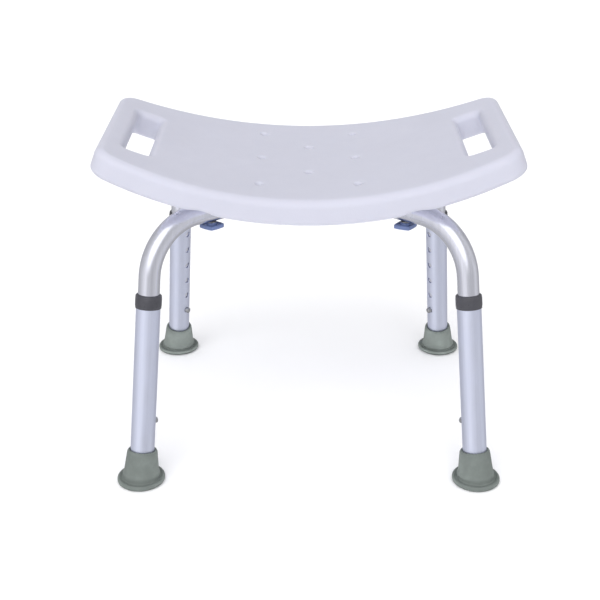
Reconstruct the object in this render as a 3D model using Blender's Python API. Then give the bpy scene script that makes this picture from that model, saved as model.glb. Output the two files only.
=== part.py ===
"""Backless shower stool: a curved, blow-moulded seat on four telescopic aluminium legs.

Metres, +Z up. The origin is on the floor under the middle of the seat. X runs along the seat, the
front is -Y. Each leg is a J-shaped tube that lies in a cradle under the seat, held by one thumb
screw, with a holed lower tube that slides on it and locks on a sprung button.
"""

import math

import bmesh
import bpy
from mathutils import Matrix, Vector

# Seat: a slab that is bent to an arc along X. Its long edges bow outwards in plan.
SEAT_LENGTH = 0.480
SEAT_DEPTH = 0.305
SEAT_EDGE_BOW = 0.030  # how much less deep each long edge is at the ends
SEAT_RISE = 0.0514  # the ends stand this much above the middle
SEAT_TOP_HEIGHT = 0.346  # top of the seat at its middle, legs at their shortest
SEAT_THICKNESS = 0.031
SEAT_WALL = 0.0032
SEAT_CORNER_RADIUS = 0.022
SEAT_TOP_FILLET = 0.010
SEAT_BOTTOM_FILLET = 0.006
SEAT_DRAFT = 0.002  # the side wall leans in by this much towards the underside
SEAT_EDGE_STEPS = 24
SEAT_CORNER_STEPS = 4

# Shallow channels that cross the underside above the thumb screws
CHANNEL_PLACE = 0.117
CHANNEL_HALF_WIDTH = 0.022
CHANNEL_DEPTH = 0.003

# Hand-holes, one near each end
HAND_HOLE_PLACE = 0.2033  # along the seat's arc, from its middle
HAND_HOLE_LENGTH = 0.148
HAND_HOLE_WIDTH = 0.0295
HAND_HOLE_CORNER = 0.006
HAND_HOLE_TOP_FILLET = 0.009
HAND_HOLE_BOTTOM_BEVEL = 0.003

# Drain holes: two columns of three and one of two between them
DRAIN_COLUMN = 0.057
DRAIN_ROW = 0.0976
DRAIN_RADIUS = 0.0025
DRAIN_CONE_RADIUS = 0.0055
DRAIN_CONE_DEPTH = 0.0035
DRAIN_POST_RADIUS = 0.0085
VENT_RADIUS = 0.0030
SCREW_POST_RADIUS = 0.0095  # solid plastic round each insert

# Leg tubes
FOOT_X = {"front": 0.2020, "rear": 0.1904}  # where the leg's axis meets the floor
FOOT_Y = 0.1790
LEG_RUN_IN_X, LEG_RUN_IN_Y = 0.0710, 0.1850  # how far the axis leans in, per metre of height
BEND_AZIMUTH = math.radians(37)  # the horizontal end of the tube points this far from X, inwards
BEND_RADIUS = 0.072
ARM_HEIGHT = 0.3065  # axis of the horizontal end of the upper tube
ARM_LENGTH = 0.085
UPPER_TUBE_RADIUS = 0.0127
UPPER_TUBE_WALL = 0.0012
UPPER_TUBE_END = 0.0510  # lower end of the upper tube, along the leg's axis from the floor
LOWER_TUBE_RADIUS = 0.0143
LOWER_TUBE_WALL = 0.0013
LOWER_TUBE_END = 0.0150
LOWER_TUBE_TOP = 0.2280
TUBE_SIDES = 16
BEND_STEPS = 8

# Height setting: a row of holes in the lower tube and a sprung button in the upper tube
HOLE_PITCH = 0.0254
HOLE_COUNT = 6
HOLE_RADIUS = 0.0040
BUTTON_HEIGHT = 0.0738
BUTTON_RADIUS = 0.0036
BUTTON_TIP = 0.0190  # from the leg's axis to the top of the button
BUTTON_BASE = 0.0090
BUTTON_FLANGE_RADIUS = 0.0046
BUTTON_FLANGE = 0.0008
SPRING_THICKNESS = 0.0006
SPRING_WIDTH = 0.0080
SPRING_LENGTH = 0.0440

# Collar at the top of the lower tube
COLLAR_RADIUS = 0.0156
COLLAR_BOTTOM = 0.2148
COLLAR_TOP = 0.2310

# Rubber foot
FOOT_RADIUS = 0.0286
FOOT_TOP = 0.0392
FOOT_TOP_RADIUS = 0.0182
FOOT_SIDES = 18
FOOT_WASHER_THICKNESS = 0.0015

# Thumb screw, from below: knob, washer, tube, insert in the seat
KNOB_ALONG_ARM = 0.0205  # from the end of the bend
KNOB_LENGTH = 0.029
KNOB_WIDTH = 0.024
KNOB_THICKNESS = 0.0052
KNOB_SIDES = 16
KNOB_NECK = 0.0020
KNOB_NECK_RADIUS = 0.0062
KNOB_POINTEDNESS = 1.70  # 1 is an ellipse, 2 a straight-sided lozenge
KNOB_TURNS = {"front_left": 3, "front_right": 15, "rear_left": 64, "rear_right": 35}  # degrees
SCREW_RADIUS = 0.0030
SCREW_TOP = 0.3330
SCREW_HEAD_RADIUS = 0.0057
SCREW_HEAD_HEIGHT = 0.0030
WASHER_RADIUS = 0.0058
WASHER_THICKNESS = 0.0010
INSERT_RADIUS = 0.0045
INSERT_BOTTOM, INSERT_TOP = 0.3202, 0.3335

# Cradles under the seat that the horizontal tube ends lie in
CRADLE_HALF_WIDTH = 0.0200
CRADLE_BOTTOM = 0.3095
CRADLE_START, CRADLE_END = 0.0040, 0.0950  # along the arm from the end of the bend

GAP = 0.0003
CORNERS = {"front_left": (-1, -1), "front_right": (1, -1), "rear_left": (-1, 1), "rear_right": (1, 1)}

SEAT_ARC_RADIUS = ((SEAT_LENGTH / 2) ** 2 + SEAT_RISE**2) / (2 * SEAT_RISE)
SEAT_HALF_ARC = SEAT_ARC_RADIUS * math.asin(SEAT_LENGTH / 2 / SEAT_ARC_RADIUS)
UP = Vector((0, 0, 1))


# Scene, materials and meshes


def clear_scene():
    for thing in list(bpy.data.objects):
        bpy.data.objects.remove(thing)


def make_material(name, colour, roughness, metallic=0.0):
    material = bpy.data.materials.new(name)
    material.use_nodes = True
    shader = material.node_tree.nodes["Principled BSDF"]
    shader.inputs["Base Color"].default_value = (*colour, 1)
    shader.inputs["Roughness"].default_value = roughness
    shader.inputs["Metallic"].default_value = metallic
    return material


def make_materials():
    return {
        "hdpe": make_material("white_hdpe", (0.72, 0.72, 0.76), 0.42),
        "anodised": make_material("anodised_aluminium", (0.70, 0.70, 0.76), 0.35, 0.9),
        "polished": make_material("polished_aluminium", (0.80, 0.80, 0.82), 0.2, 1.0),
        "steel": make_material("zinc_plated_steel", (0.62, 0.62, 0.62), 0.3, 1.0),
        "brass": make_material("brass", (0.72, 0.56, 0.28), 0.35, 1.0),
        "rubber": make_material("grey_rubber", (0.20, 0.23, 0.21), 0.7),
        "dark_plastic": make_material("dark_grey_plastic", (0.07, 0.07, 0.08), 0.4),
        "blue_plastic": make_material("blue_plastic", (0.06, 0.10, 0.33), 0.4),
    }


def loft(rings, closed=False):
    """A mesh through rings of points. An open loft gets a face over each end, a closed one joins up."""
    bm = bmesh.new()
    rows = [[bm.verts.new(point) for point in ring] for ring in rings]
    pairs = list(zip(rows, rows[1:]))
    if closed:
        pairs.append((rows[-1], rows[0]))
    for low, high in pairs:
        count = len(low)
        for i in range(count):
            j = (i + 1) % count
            bm.faces.new((low[i], low[j], high[j], high[i]))
    if not closed:
        bm.faces.new(reversed(rows[0]))
        bm.faces.new(rows[-1])
    return finish_mesh(bm)


def finish_mesh(bm):
    """Turns every face outwards, splits the large ones into triangles and returns the mesh."""
    bmesh.ops.recalc_face_normals(bm, faces=bm.faces)
    bmesh.ops.triangulate(bm, faces=[face for face in bm.faces if len(face.verts) > 4])
    mesh = bpy.data.meshes.new("mesh")
    bm.to_mesh(mesh)
    bm.free()
    mesh.shade_smooth()
    mesh.set_sharp_from_angle(angle=math.radians(35))
    return mesh


def joined(meshes):
    """One mesh that holds several separate closed ones."""
    bm = bmesh.new()
    for mesh in meshes:
        bm.from_mesh(mesh)
    return finish_mesh(bm)


def place(name, mesh, matrix, material=None):
    thing = bpy.data.objects.new(name, mesh)
    thing.matrix_world = matrix
    bpy.context.scene.collection.objects.link(thing)
    if material:
        mesh.materials.clear()
        mesh.materials.append(material)
    return thing


def helper(name, mesh, matrix=None):
    thing = place(name, mesh, matrix or Matrix())
    thing.hide_render = True
    thing.display_type = "WIRE"
    return thing


def combine(target, tool, operation):
    modifier = target.modifiers.new(tool.name, "BOOLEAN")
    modifier.operation = operation
    modifier.object = tool


# Points


def axes_matrix(origin, x_axis, z_axis):
    """A placement whose Z is z_axis and whose X is as near x_axis as it can be."""
    z_axis = z_axis.normalized()
    x_axis = (x_axis - z_axis * x_axis.dot(z_axis)).normalized()
    y_axis = z_axis.cross(x_axis)
    turn = Matrix((x_axis, y_axis, z_axis)).transposed().to_4x4()
    return Matrix.Translation(origin) @ turn


def circle(radius, height, sides, centre=(0.0, 0.0), start=0.0):
    steps = [start + 2 * math.pi * i / sides for i in range(sides)]
    return [
        Vector((centre[0] + radius * math.cos(a), centre[1] + radius * math.sin(a), height))
        for a in steps
    ]


def turned(profile, sides, closed=False, start=0.0):
    """A solid of revolution about Z, from (radius, height) pairs."""
    return loft([circle(radius, height, sides, start=start) for radius, height in profile], closed)


def rod(radius, bottom, top, sides=12):
    return turned([(radius, bottom), (radius, top)], sides)


def leg_matrix(corner):
    """The leg's frame: origin on the floor, Z up the leg's axis, X towards the arm's side."""
    side_x, side_y = CORNERS[corner]
    foot = Vector((side_x * FOOT_X[corner.split("_")[0]], side_y * FOOT_Y, 0))
    up_leg = Vector((-side_x * LEG_RUN_IN_X, -side_y * LEG_RUN_IN_Y, 1))
    return axes_matrix(foot, arm_direction(corner), up_leg)


def arm_direction(corner):
    side_x, side_y = CORNERS[corner]
    return Vector((-side_x * math.cos(BEND_AZIMUTH), -side_y * math.sin(BEND_AZIMUTH), 0))


def bend_geometry():
    """(turn, start): the angle the tube turns through, and where its bend starts along the leg."""
    matrix = leg_matrix("front_left")
    leg_axis = matrix.col[2].to_3d()
    turn = leg_axis.angle(arm_direction("front_left"))
    corner_along = ARM_HEIGHT / leg_axis.z
    return turn, corner_along - BEND_RADIUS * math.tan(turn / 2)


BEND_TURN, BEND_START = bend_geometry()


def tube_stations(low, arm_end):
    """(centre, direction) along the bent tube in the leg's frame, from low to arm_end on the arm."""
    stations = [(Vector((0, 0, low)), 0.0)]
    for i in range(BEND_STEPS + 1):
        angle = BEND_TURN * i / BEND_STEPS
        along = BEND_RADIUS * (1 - math.cos(angle))
        stations.append((Vector((along, 0, BEND_START + BEND_RADIUS * math.sin(angle))), angle))
    arm = Vector((math.sin(BEND_TURN), 0, math.cos(BEND_TURN)))
    stations.append((stations[-1][0] + arm * arm_end, BEND_TURN))
    return stations


def tube_rings(stations, radius):
    rings = []
    for centre, angle in stations:
        across = Vector((math.cos(angle), 0, -math.sin(angle)))
        side = Vector((0, 1, 0))
        rings.append(
            [
                centre + radius * (across * point.x + side * point.y)
                for point in circle(1, 0, TUBE_SIDES)
            ]
        )
    return rings


def arm_point(corner, along):
    """A point on the arm's axis, in the world, with along measured from the bend's end."""
    bend_end = leg_matrix(corner) @ tube_stations(0, 0)[-1][0]
    return bend_end + arm_direction(corner) * along


# Seat


def square_to_seat(along, across, depth):
    """Flat seat coordinates (along, across, down) to the world, walls square to the top face."""
    angle = along / SEAT_ARC_RADIUS
    reach = SEAT_ARC_RADIUS + depth
    up = SEAT_TOP_HEIGHT + SEAT_ARC_RADIUS - reach * math.cos(angle)
    return Vector((reach * math.sin(angle), across, up))


def upright_in_seat(along, across, depth):
    """The same, but straight down."""
    angle = along / SEAT_ARC_RADIUS
    top = SEAT_TOP_HEIGHT + SEAT_ARC_RADIUS * (1 - math.cos(angle))
    return Vector((SEAT_ARC_RADIUS * math.sin(angle), across, top - depth / math.cos(angle)))


def seat_thickness(along):
    """The slab's thickness, which is less where a channel crosses the underside."""
    off = abs(abs(along) - CHANNEL_PLACE) / CHANNEL_HALF_WIDTH
    share = math.cos(math.pi / 2 * min(off, 1)) ** 2
    return SEAT_THICKNESS - CHANNEL_DEPTH * share


def seat_stations(inset):
    """(along, half depth) from the left end to the right, for the outline moved in by inset."""
    corner = SEAT_CORNER_RADIUS - inset
    straight = SEAT_HALF_ARC - SEAT_CORNER_RADIUS
    right = []
    for i in range(SEAT_CORNER_STEPS + 1):
        angle = math.pi / 2 * i / SEAT_CORNER_STEPS
        right.append((straight + corner * math.sin(angle), corner * (1 - math.cos(angle))))
    left = [(-along, cut) for along, cut in reversed(right)]
    steps = [2 * i / SEAT_EDGE_STEPS - 1 for i in range(1, SEAT_EDGE_STEPS)]
    middle = [(straight * step, 0.0) for step in steps]
    half_depth = SEAT_DEPTH / 2 - inset
    return [
        (along, half_depth - SEAT_EDGE_BOW * (along / SEAT_HALF_ARC) ** 2 - cut)
        for along, cut in left + middle + right
    ]


def seat_ring(inset, depth, from_underside):
    stations = seat_stations(inset)

    def point(along, across):
        down = seat_thickness(along) - depth if from_underside else depth
        return square_to_seat(along, across, down)

    front = [point(along, -half) for along, half in stations]
    back = [point(along, half) for along, half in reversed(stations)]
    return front + back


def seat_slab(wall, top_steps, bottom_steps):
    """The seat's outer form, or the hollow inside it at a distance of wall."""
    top_fillet = SEAT_TOP_FILLET - wall
    bottom_fillet = SEAT_BOTTOM_FILLET - wall
    rings = []
    for i in range(top_steps + 1):
        angle = math.pi / 2 * i / top_steps
        inset = wall + top_fillet * (1 - math.sin(angle))
        rings.append(seat_ring(inset, wall + top_fillet * (1 - math.cos(angle)), False))
    for i in range(bottom_steps + 1):
        angle = math.pi / 2 * i / bottom_steps
        inset = wall + SEAT_DRAFT + bottom_fillet * (1 - math.cos(angle))
        rings.append(seat_ring(inset, wall + bottom_fillet * (1 - math.sin(angle)), True))
    bm = bmesh.new()
    rows = [[bm.verts.new(point) for point in ring] for ring in rings]
    count = len(rows[0])
    for low, high in zip(rows, rows[1:]):
        for i in range(count):
            j = (i + 1) % count
            bm.faces.new((low[i], low[j], high[j], high[i]))
    for row in (rows[0], rows[-1]):
        for i in range(count // 2 - 1):
            bm.faces.new((row[i], row[i + 1], row[count - 2 - i], row[count - 1 - i]))
    return finish_mesh(bm)


def rounded_rectangle(half_x, half_y, radius, steps=3):
    points = []
    for quarter, (sign_x, sign_y) in enumerate(((1, 1), (-1, 1), (-1, -1), (1, -1))):
        for i in range(steps + 1):
            angle = math.pi / 2 * (quarter + i / steps)
            x = sign_x * (half_x - radius) + radius * math.cos(angle)
            y = sign_y * (half_y - radius) + radius * math.sin(angle)
            points.append((x, y))
    return points


def hand_hole(side, grow):
    """A bar through the seat with the hand-hole's outline, grown by grow, and flared at both faces."""
    deep = SEAT_THICKNESS
    fillet = HAND_HOLE_TOP_FILLET - grow
    bevel = HAND_HOLE_BOTTOM_BEVEL - grow / 2
    layers = [(grow - 0.0020, fillet * 1.35)]
    for degrees in (15, 40, 65, 90):
        angle = math.radians(degrees)
        layers.append((grow + fillet * (1 - math.cos(angle)), fillet * (1 - math.sin(angle))))
    layers += [(deep - grow - bevel, 0.0), (deep - grow + 0.0020, bevel + 0.0020)]
    rings = []
    for depth, flare in layers:
        outline = rounded_rectangle(
            HAND_HOLE_WIDTH / 2 + grow + flare,
            HAND_HOLE_LENGTH / 2 + grow + flare,
            HAND_HOLE_CORNER + grow + flare,
        )
        along = side * HAND_HOLE_PLACE
        rings.append([square_to_seat(along + x, y, depth) for x, y in outline])
    return loft(rings)


def drain_places():
    columns = [(side * DRAIN_COLUMN, row * DRAIN_ROW) for side in (-1, 1) for row in (-1, 0, 1)]
    return columns + [(0, -DRAIN_ROW / 2), (0, DRAIN_ROW / 2)]


def moved(mesh, matrix):
    mesh.transform(matrix)
    return mesh


def drain_matrix(x, y):
    """A place on the seat's top face, with Z straight up."""
    along = SEAT_ARC_RADIUS * math.asin(x / SEAT_ARC_RADIUS)
    return Matrix.Translation(upright_in_seat(along, y, 0))


def drain_cutter(x, y):
    profile = [
        (DRAIN_RADIUS, -SEAT_THICKNESS - 0.003),
        (DRAIN_RADIUS, -DRAIN_CONE_DEPTH),
        (DRAIN_CONE_RADIUS, 0.0),
        (DRAIN_CONE_RADIUS, 0.003),
    ]
    return moved(turned(profile, 10), drain_matrix(x, y))


def drain_post(x, y):
    return moved(rod(DRAIN_POST_RADIUS, -SEAT_THICKNESS - 0.003, 0.003, 8), drain_matrix(x, y))


def arm_cutter(corner, extra):
    """The space of a leg's bent tube and its end plug, grown by extra."""
    stations = tube_stations(BEND_START - 0.02, ARM_LENGTH + 0.004 + extra)
    return moved(loft(tube_rings(stations, UPPER_TUBE_RADIUS + extra)), leg_matrix(corner))


def cradle(corner):
    """The block under the seat that holds the horizontal end of a leg."""
    rings = []
    across = UP.cross(arm_direction(corner))
    for along in (CRADLE_START, CRADLE_END):
        centre = arm_point(corner, along)
        ring = []
        for side, height in ((-1, 0), (-1, 1), (1, 1), (1, 0)):
            point = centre + across * side * CRADLE_HALF_WIDTH
            point.z = SEAT_TOP_HEIGHT - 0.008 if height else CRADLE_BOTTOM
            ring.append(point)
        rings.append(ring)
    return loft(rings)


def vertical_rod(corner, radius, bottom, top, sides=12):
    centre = arm_point(corner, KNOB_ALONG_ARM)
    return moved(rod(radius, bottom, top, sides), Matrix.Translation((centre.x, centre.y, 0)))


def make_seat(materials):
    seat = place("seat_panel", seat_slab(0.0, 3, 2), Matrix(), materials["hdpe"])
    hollow = helper("seat_hollow", seat_slab(SEAT_WALL, 2, 1))
    posts = [drain_post(x, y) for x, y in drain_places()]
    posts += [hand_hole(side, SEAT_WALL) for side in (-1, 1)]
    combine(hollow, helper("seat_posts", joined(posts)), "DIFFERENCE")
    arms = joined([arm_cutter(corner, SEAT_WALL) for corner in CORNERS])
    combine(hollow, helper("arm_walls", arms), "DIFFERENCE")
    screw_posts = joined([vertical_rod(corner, SCREW_POST_RADIUS, 0.30, 0.37) for corner in CORNERS])
    combine(hollow, helper("screw_posts", screw_posts), "DIFFERENCE")

    combine(seat, helper("cradles", joined([cradle(corner) for corner in CORNERS])), "UNION")
    combine(seat, hollow, "DIFFERENCE")
    openings = [hand_hole(side, 0.0) for side in (-1, 1)]
    openings += [drain_cutter(x, y) for x, y in drain_places()]
    vent_top = SEAT_TOP_HEIGHT - SEAT_THICKNESS + SEAT_WALL + 0.004
    openings.append(rod(VENT_RADIUS, vent_top - 0.02, vent_top, 10))
    combine(seat, helper("seat_openings", joined(openings)), "DIFFERENCE")
    arms = joined([arm_cutter(corner, GAP) for corner in CORNERS])
    combine(seat, helper("cradle_grooves", arms), "DIFFERENCE")
    pockets = joined([insert_pocket(corner) for corner in CORNERS])
    combine(seat, helper("insert_pockets", pockets), "DIFFERENCE")


def insert_pocket(corner):
    centre = arm_point(corner, KNOB_ALONG_ARM)
    profile = [
        (INSERT_RADIUS + GAP, INSERT_BOTTOM - 0.006),
        (INSERT_RADIUS + GAP, INSERT_TOP + GAP),
        (SCREW_RADIUS + GAP, INSERT_TOP + GAP),
        (SCREW_RADIUS + GAP, INSERT_TOP + 0.006),
    ]
    return moved(turned(profile, 12), Matrix.Translation((centre.x, centre.y, 0)))


# Legs


def turned_tube(profile, sides=TUBE_SIDES):
    return turned(profile, sides, closed=True)


def make_upper_leg(corner, materials):
    """The bent tube, with a hole for the button and two for the thumb screw."""
    stations = tube_stations(UPPER_TUBE_END, ARM_LENGTH)
    outer = tube_rings(stations, UPPER_TUBE_RADIUS)
    inner = tube_rings(stations, UPPER_TUBE_RADIUS - UPPER_TUBE_WALL)
    matrix = leg_matrix(corner)
    mesh = loft(outer + inner[::-1], closed=True)
    leg = place(f"upper_leg_{corner}", mesh, matrix, materials["polished"])
    button_hole = moved(rod(HOLE_RADIUS, 0.004, 0.020, 10), button_axis(0))
    combine(leg, helper(f"button_bore_{corner}", button_hole, matrix), "DIFFERENCE")
    screw_hole = vertical_rod(corner, SCREW_RADIUS + 0.0005, 0.28, 0.33, 10)
    combine(leg, helper(f"screw_bore_{corner}", screw_hole), "DIFFERENCE")


def button_axis(step):
    """In the leg's frame, a placement with Z out through the button's hole, step holes up."""
    height = BUTTON_HEIGHT + step * HOLE_PITCH
    return axes_matrix(Vector((0, 0, height)), Vector((0, 0, 1)), Vector((1, 0, 0)))


def make_leg_extension(corner, materials):
    """The lower tube with its row of holes."""
    outer, inner = LOWER_TUBE_RADIUS, LOWER_TUBE_RADIUS - LOWER_TUBE_WALL
    profile = [(outer, LOWER_TUBE_END), (outer, LOWER_TUBE_TOP)]
    profile += [(inner, LOWER_TUBE_TOP), (inner, LOWER_TUBE_END)]
    matrix = leg_matrix(corner)
    tube = place(f"leg_extension_{corner}", turned_tube(profile), matrix, materials["anodised"])
    bores = [moved(rod(HOLE_RADIUS, 0.004, 0.020, 10), button_axis(i)) for i in range(HOLE_COUNT)]
    combine(tube, helper(f"hole_row_{corner}", joined(bores), matrix), "DIFFERENCE")


def make_collar(corner, materials):
    wide = LOWER_TUBE_RADIUS + GAP
    narrow = UPPER_TUBE_RADIUS + GAP
    step = LOWER_TUBE_TOP + GAP
    edge = 0.0015
    profile = [
        (wide, COLLAR_BOTTOM),
        (COLLAR_RADIUS, COLLAR_BOTTOM),
        (COLLAR_RADIUS, COLLAR_TOP - edge),
        (COLLAR_RADIUS - edge, COLLAR_TOP),
        (narrow, COLLAR_TOP),
        (narrow, step),
        (wide, step),
    ]
    place(f"leg_collar_{corner}", turned_tube(profile), leg_matrix(corner), materials["dark_plastic"])


def foot_profile():
    """(radius, height, lean) up the outside of a foot. Lean 0 is level, lean 1 square to the leg."""
    top = FOOT_TOP_RADIUS
    bore = LOWER_TUBE_RADIUS + GAP
    return [
        (0.0100, 0.0016, 0),
        (0.0120, 0.0, 0),
        (FOOT_RADIUS - 0.0018, 0.0, 0),
        (FOOT_RADIUS, 0.0016, 0),
        (FOOT_RADIUS, 0.0046, 0),
        (FOOT_RADIUS - 0.0014, 0.0060, 0),
        (0.0234, 0.0056, 0),
        (0.0224, 0.0076, 0.1),
        (0.0226, 0.0096, 0.3),
        (0.0212, 0.0122, 0.6),
        (0.0206, 0.0150, 1),
        (top, FOOT_TOP - 0.0018, 1),
        (top - 0.0014, FOOT_TOP, 1),
        (bore, FOOT_TOP, 1),
        (bore, LOWER_TUBE_END - GAP - FOOT_WASHER_THICKNESS - GAP, 1),
    ]


def make_foot(corner, materials):
    """A rubber foot: a level flange, with a body that leans with the leg and holds the tube."""
    matrix = leg_matrix(corner)
    to_leg = matrix.inverted()
    world_x = to_leg.to_3x3() @ Vector((1, 0, 0))
    start = math.atan2(world_x.y, world_x.x)
    rings = []
    for radius, height, lean in foot_profile():
        centre = matrix @ Vector((0, 0, height / matrix[2][2]))
        level = circle(radius, height, FOOT_SIDES, centre=(centre.x, centre.y))
        leaning = circle(radius, height, FOOT_SIDES, start=start)
        rings.append([(to_leg @ a).lerp(b, lean) for a, b in zip(level, leaning)])
    place(f"rubber_foot_{corner}", loft(rings), matrix, materials["rubber"])
    bottom = LOWER_TUBE_END - GAP - FOOT_WASHER_THICKNESS
    washer = [(0.0135, bottom), (0.0135, bottom + FOOT_WASHER_THICKNESS)]
    washer += [(0.0030, bottom + FOOT_WASHER_THICKNESS), (0.0030, bottom)]
    place(f"foot_washer_{corner}", turned_tube(washer, 12), matrix, materials["steel"])


def make_end_plug(corner, materials):
    """A plastic plug in the open end of the arm."""
    inside = UPPER_TUBE_RADIUS - UPPER_TUBE_WALL - GAP
    centre, angle = tube_stations(0, ARM_LENGTH)[-1]
    out = Vector((math.sin(angle), 0, math.cos(angle)))
    across = Vector((math.cos(angle), 0, -math.sin(angle)))
    matrix = leg_matrix(corner) @ axes_matrix(centre, across, out)
    profile = [(inside - 0.0010, -0.0120), (inside, -0.0110), (inside, GAP)]
    profile += [(UPPER_TUBE_RADIUS - 0.0004, GAP), (UPPER_TUBE_RADIUS - 0.0004, 0.0017)]
    profile += [(UPPER_TUBE_RADIUS - 0.0016, 0.0024)]
    mesh = turned(profile, TUBE_SIDES)
    place(f"tube_end_plug_{corner}", mesh, matrix, materials["dark_plastic"])


def make_button(corner, materials):
    flange_top = BUTTON_BASE + BUTTON_FLANGE
    dome = 0.0016
    profile = [
        (BUTTON_FLANGE_RADIUS, BUTTON_BASE),
        (BUTTON_FLANGE_RADIUS, flange_top),
        (BUTTON_RADIUS, flange_top),
        (BUTTON_RADIUS, BUTTON_TIP - dome),
        (BUTTON_RADIUS * 0.88, BUTTON_TIP - dome * 0.5),
        (BUTTON_RADIUS * 0.55, BUTTON_TIP - dome * 0.14),
        (BUTTON_RADIUS * 0.15, BUTTON_TIP),
    ]
    matrix = leg_matrix(corner) @ button_axis(0)
    place(f"snap_button_{corner}", turned(profile, 12), matrix, materials["steel"])


def spring_path():
    """The V-spring's centre line in the leg's X-Z plane: up behind the button, over and down."""
    near = BUTTON_BASE - GAP - SPRING_THICKNESS / 2
    far = -(UPPER_TUBE_RADIUS - UPPER_TUBE_WALL - 0.0012)
    low = BUTTON_HEIGHT - 0.0070
    shoulder = BUTTON_HEIGHT + 0.0090
    top = low + SPRING_LENGTH
    apex_radius = 0.0030
    middle = (near + far) / 2
    points = [(near, low), (near, shoulder)]
    for i in range(7):
        angle = math.pi * i / 6
        points.append((middle + apex_radius * math.cos(angle), top + apex_radius * math.sin(angle)))
    return points + [(far, shoulder), (far, low - 0.0020)]


def make_spring(corner, materials):
    """A strip bent into a V that pushes the button out."""
    path = [Vector((x, 0, z)) for x, z in spring_path()]
    rings = []
    for i, point in enumerate(path):
        direction = (path[min(i + 1, len(path) - 1)] - path[max(i - 1, 0)]).normalized()
        across = Vector((0, 1, 0)) * SPRING_WIDTH / 2
        out = direction.cross(Vector((0, 1, 0))) * SPRING_THICKNESS / 2
        rings.append([point + across + out, point - across + out, point - across - out])
        rings[-1].append(point + across - out)
    place(f"button_spring_{corner}", loft(rings), leg_matrix(corner), materials["steel"])


# Thumb screws


def knob_outline(inset):
    """A rounded lozenge."""
    points = []
    for i in range(KNOB_SIDES):
        angle = 2 * math.pi * i / KNOB_SIDES
        cos, sin = math.cos(angle), math.sin(angle)
        x = (KNOB_LENGTH / 2 - inset) * math.copysign(abs(cos) ** KNOB_POINTEDNESS, cos)
        y = (KNOB_WIDTH / 2 - inset) * math.copysign(abs(sin) ** KNOB_POINTEDNESS, sin)
        points.append((x, y))
    return points


def knob_heights():
    tube_bottom = ARM_HEIGHT - UPPER_TUBE_RADIUS
    washer_bottom = tube_bottom - GAP - WASHER_THICKNESS
    neck_top = washer_bottom - GAP
    plate_top = neck_top - KNOB_NECK
    return washer_bottom, neck_top, plate_top, plate_top - KNOB_THICKNESS


def make_thumb_screw(corner, materials):
    """A lozenge knob on a hexagon-head screw, with a washer under the tube."""
    washer_bottom, neck_top, plate_top, plate_bottom = knob_heights()
    centre = arm_point(corner, KNOB_ALONG_ARM)
    turn = Matrix.Rotation(math.radians(KNOB_TURNS[corner]), 4, "Z")
    matrix = Matrix.Translation((centre.x, centre.y, neck_top)) @ turn
    edge = 0.0008
    layers = [(plate_bottom, edge), (plate_bottom + edge, 0.0), (plate_top - edge, 0.0)]
    layers.append((plate_top, edge))
    rings = []
    for height, inset in layers:
        rings.append([Vector((x, y, height - neck_top)) for x, y in knob_outline(inset)])
    neck_base = circle(KNOB_NECK_RADIUS + 0.0008, plate_top - neck_top, KNOB_SIDES)
    rings += [neck_base, circle(KNOB_NECK_RADIUS, 0, KNOB_SIDES)]
    knob = place(f"knob_{corner}", loft(rings), matrix, materials["blue_plastic"])
    bore = rod(SCREW_RADIUS + GAP, plate_bottom - neck_top - 0.002, 0.002, 12)
    combine(knob, helper(f"knob_bore_{corner}", bore, matrix), "DIFFERENCE")
    pocket_top = plate_bottom - neck_top + GAP + SCREW_HEAD_HEIGHT + GAP
    pocket = rod(SCREW_HEAD_RADIUS + GAP, plate_bottom - neck_top - 0.001, pocket_top, 6)
    combine(knob, helper(f"knob_pocket_{corner}", pocket, matrix), "DIFFERENCE")

    head_bottom = plate_bottom - neck_top + GAP
    head = [Vector(p) for p in circle(SCREW_HEAD_RADIUS, head_bottom, 6)]
    profile = [
        (SCREW_RADIUS, head_bottom + SCREW_HEAD_HEIGHT),
        (SCREW_RADIUS, SCREW_TOP - neck_top - 0.0010),
        (SCREW_RADIUS - 0.0008, SCREW_TOP - neck_top),
    ]
    head_top = [Vector((p.x, p.y, head_bottom + SCREW_HEAD_HEIGHT)) for p in head]
    shaft = [circle(radius, height, 12) for radius, height in profile]
    hexagon = [doubled(head), doubled(head_top)]
    screw = loft(hexagon + shaft)
    place(f"knob_screw_{corner}", screw, matrix, materials["steel"])

    hole = SCREW_RADIUS + GAP
    washer = [(hole, 0), (WASHER_RADIUS, 0), (WASHER_RADIUS, WASHER_THICKNESS), (hole, WASHER_THICKNESS)]
    washer_matrix = Matrix.Translation((centre.x, centre.y, washer_bottom))
    place(f"knob_washer_{corner}", turned_tube(washer, 12), washer_matrix, materials["steel"])

    insert = [(hole, INSERT_BOTTOM), (INSERT_RADIUS, INSERT_BOTTOM), (INSERT_RADIUS, INSERT_TOP)]
    insert.append((hole, INSERT_TOP))
    insert_matrix = Matrix.Translation((centre.x, centre.y, 0))
    mesh = turned(insert, 12, closed=True)
    place(f"seat_insert_{corner}", mesh, insert_matrix, materials["brass"])


def doubled(ring):
    """The same outline with a point added at the middle of each side."""
    points = []
    for i, point in enumerate(ring):
        points += [point, (point + ring[(i + 1) % len(ring)]) / 2]
    return points


def main():
    clear_scene()
    materials = make_materials()
    make_seat(materials)
    for corner in CORNERS:
        make_upper_leg(corner, materials)
        make_end_plug(corner, materials)
        make_leg_extension(corner, materials)
        make_collar(corner, materials)
        make_foot(corner, materials)
        make_button(corner, materials)
        make_spring(corner, materials)
        make_thumb_screw(corner, materials)


main()
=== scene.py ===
"""Looks for the backless shower stool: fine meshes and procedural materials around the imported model."""

import math

import bmesh
import bpy
import numpy as np
from mathutils import Matrix, Vector


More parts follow.
